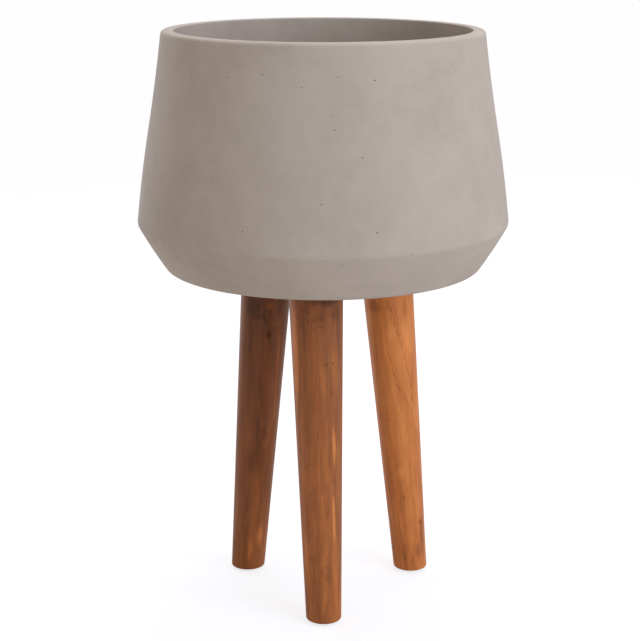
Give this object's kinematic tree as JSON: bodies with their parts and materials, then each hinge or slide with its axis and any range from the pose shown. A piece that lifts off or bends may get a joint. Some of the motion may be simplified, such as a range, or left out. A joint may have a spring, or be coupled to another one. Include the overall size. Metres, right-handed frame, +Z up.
{
  "type": "planter with stand",
  "caption": "Round fibre-cement pot with a folded belly and an open mouth, standing on splayed tapered wooden legs bolted through its floor, with a rubber drain plug.",
  "frame": {"origin": "on the floor, under the middle of the pot", "axes": "+Z up along the pot's axis, the front leg towards -Y, +X to the right seen from the front"},
  "size_m": [0.4008, 0.4006, 0.6294],
  "materials": {
    "fibre_cement": "matte",
    "oiled_teak": "satin",
    "zinc_steel": "satin",
    "black_rubber": "matte",
    "nylon": "matte"
  },
  "bodies": {
    "planter": {"pot": "fibre_cement", "leg_front": "oiled_teak", "leg_right": "oiled_teak", "leg_left": "oiled_teak", "hanger_bolt_front": "zinc_steel", "hanger_bolt_right": "zinc_steel", "hanger_bolt_left": "zinc_steel", "sealing_washer_front": "black_rubber", "sealing_washer_right": "black_rubber", "sealing_washer_left": "black_rubber", "penny_washer_front": "zinc_steel", "penny_washer_right": "zinc_steel", "penny_washer_left": "zinc_steel", "hex_nut_front": "zinc_steel", "hex_nut_right": "zinc_steel", "hex_nut_left": "zinc_steel", "glide_nail_front": "zinc_steel", "glide_nail_right": "zinc_steel", "glide_nail_left": "zinc_steel", "foot_glide_front": "nylon", "foot_glide_right": "nylon", "foot_glide_left": "nylon"},
    "plug": {"drain_plug": "black_rubber"}
  },
  "joints": [
    {"name": "drain_plug_lift", "type": "slide", "parent": "planter", "child": "plug", "axis": [0, 0, 1], "range_m": [0, 0.26]}
  ]
}
